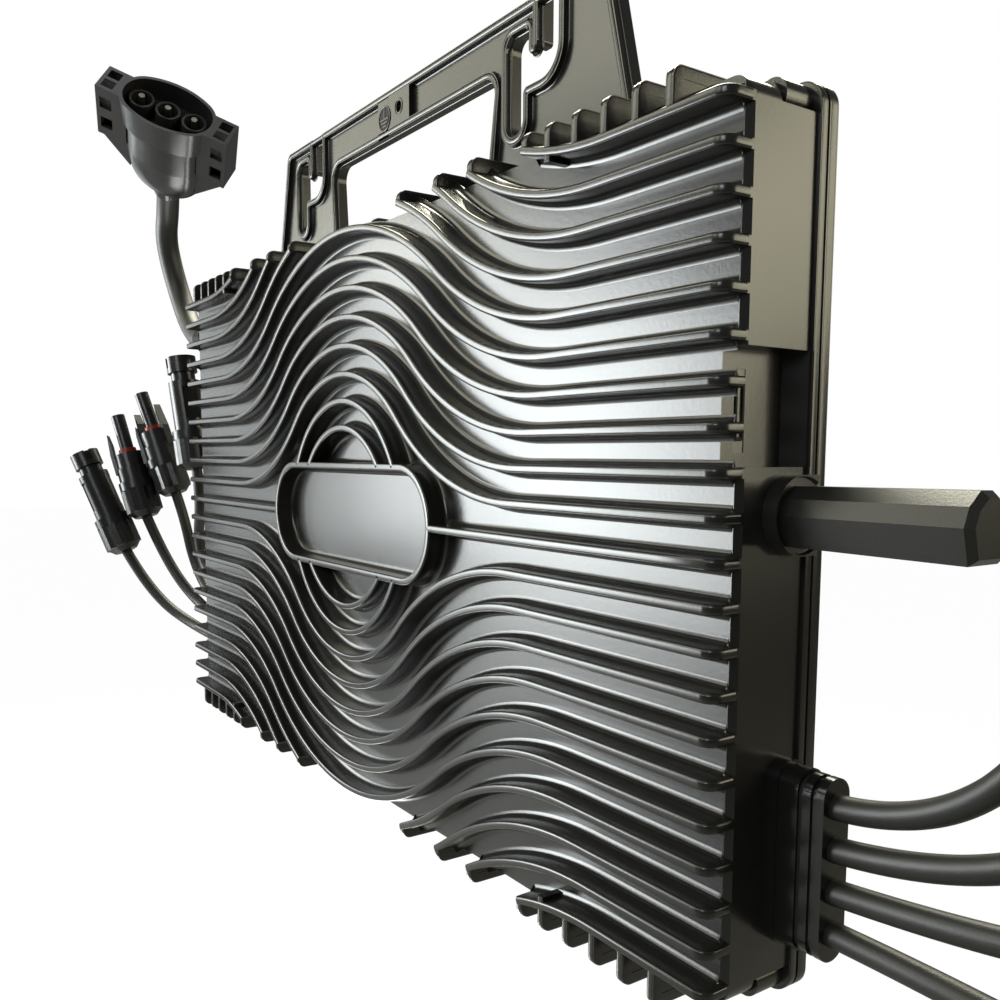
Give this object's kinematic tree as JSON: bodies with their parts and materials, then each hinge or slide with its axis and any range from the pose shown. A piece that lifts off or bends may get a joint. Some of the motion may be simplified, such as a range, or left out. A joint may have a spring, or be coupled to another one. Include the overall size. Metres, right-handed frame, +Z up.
{
  "type": "solar microinverter",
  "caption": "Finned die-cast solar microinverter that hangs from two hooked slots, with panel leads, a mains lead and a stub antenna.",
  "frame": {"origin": "middle of the line between the two hanging bolts, in the seats of the hooked slots", "axes": "+X to the right seen from the finned front, +Y from the front to the mounting rail, +Z up"},
  "size_m": [0.673, 0.0805, 0.3382],
  "materials": {
    "casting": "dark powder coat, satin",
    "gasket": "moulded silicone, matt",
    "screw_steel": "stainless, bright",
    "lens": "milky light guide",
    "antenna_plastic": "satin moulded",
    "gland_plastic": "glossy moulded black",
    "lead_jacket": "satin black jacket",
    "connector_plastic": "satin moulded black",
    "seal_red": "soft seal",
    "contact_metal": "tinned",
    "mains_plastic": "moulded black with a light sheen",
    "board": "solder mask",
    "ferrite": "sintered, matt",
    "winding": "taped winding",
    "pad_grey": "heat pad",
    "component_black": "moulded",
    "component_blue": "moulded"
  },
  "bodies": {
    "root": {"ac_gland": "gland_plastic", "ac_gland_nut": "gland_plastic", "ac_lead": "lead_jacket", "ac_plug_insert": "mains_plastic", "ac_plug_nut": "mains_plastic", "ac_plug_pins": "contact_metal", "ac_plug_shell": "mains_plastic", "antenna_base": "antenna_plastic", "antenna_nut": "screw_steel", "antenna_rod": "antenna_plastic", "back_cover": "casting", "board_screws": "screw_steel", "capacitors": "component_blue", "cover_gasket": "gasket", "cover_screws": "screw_steel", "film_capacitors": "component_blue", "filter_coils": "ferrite", "front_housing": "casting", "gland_body_left": "gland_plastic", "gland_body_right": "gland_plastic", "gland_clamp_left": "gland_plastic", "gland_clamp_right": "gland_plastic", "gland_seal_left": "gasket", "gland_seal_right": "gasket", "lead_terminals": "component_black", "main_board": "board", "pv_lead_left_1": "lead_jacket", "pv_lead_left_2": "lead_jacket", "pv_lead_left_3": "lead_jacket", "pv_lead_left_4": "lead_jacket", "pv_lead_right_1": "lead_jacket", "pv_lead_right_2": "lead_jacket", "pv_lead_right_3": "lead_jacket", "pv_lead_right_4": "lead_jacket", "pv_plug_contacts": "contact_metal", "pv_plug_left_1": "connector_plastic", "pv_plug_left_2": "connector_plastic", "pv_plug_left_3": "connector_plastic", "pv_plug_left_4": "connector_plastic", "pv_plug_nuts_left": "connector_plastic", "pv_plug_nuts_right": "connector_plastic", "pv_plug_right_1": "connector_plastic", "pv_plug_right_2": "connector_plastic", "pv_plug_right_3": "connector_plastic", "pv_plug_right_4": "connector_plastic", "pv_plug_rings": "seal_red", "radio_board": "board", "relays": "component_black", "status_lens": "lens", "thermal_pads": "pad_grey", "transformer_coils": "winding", "transformer_cores": "ferrite"}
  },
  "joints": []
}
